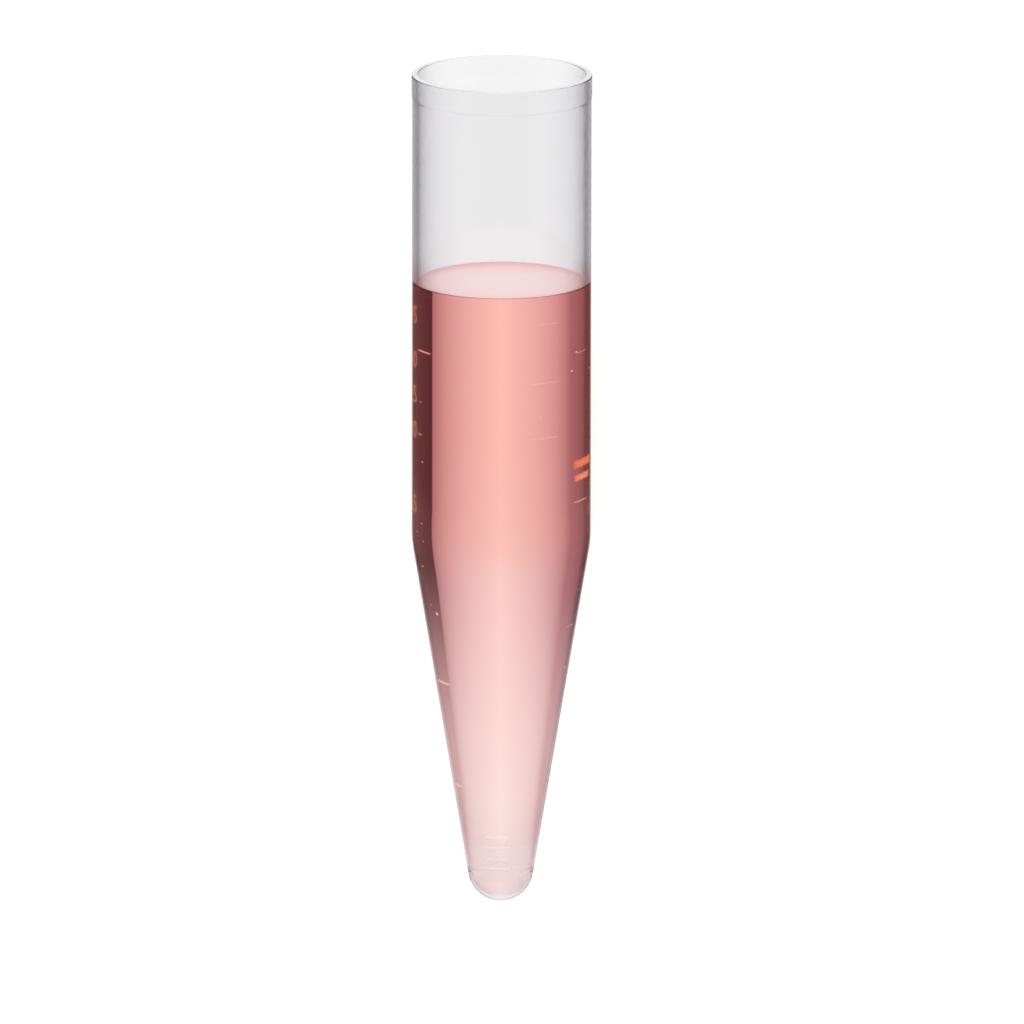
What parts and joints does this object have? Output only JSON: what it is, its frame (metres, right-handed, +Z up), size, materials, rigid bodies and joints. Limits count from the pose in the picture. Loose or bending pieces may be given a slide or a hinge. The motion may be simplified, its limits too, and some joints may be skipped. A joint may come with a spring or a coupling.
{
  "type": "50 ml conical tube",
  "caption": "Clear moulded laboratory tube with an open flat rim, a straight barrel, a cone and a round closed tip, holding a set pink medium.",
  "frame": {"origin": "on the surface that the tube lies on, below the middle of its length", "axes": "+Y along the tube, parallel to its axis of symmetry and towards the open rim; +Z up, +X across"},
  "size_m": [0.0282, 0.1324, 0.0282],
  "materials": {
    "clear_polystyrene": "glossy, water-clear with a faint grey haze",
    "pink_medium": "clear salmon pink, wet"
  },
  "bodies": {
    "root": {"tube": "clear_polystyrene", "pink_medium": "pink_medium"}
  },
  "joints": []
}
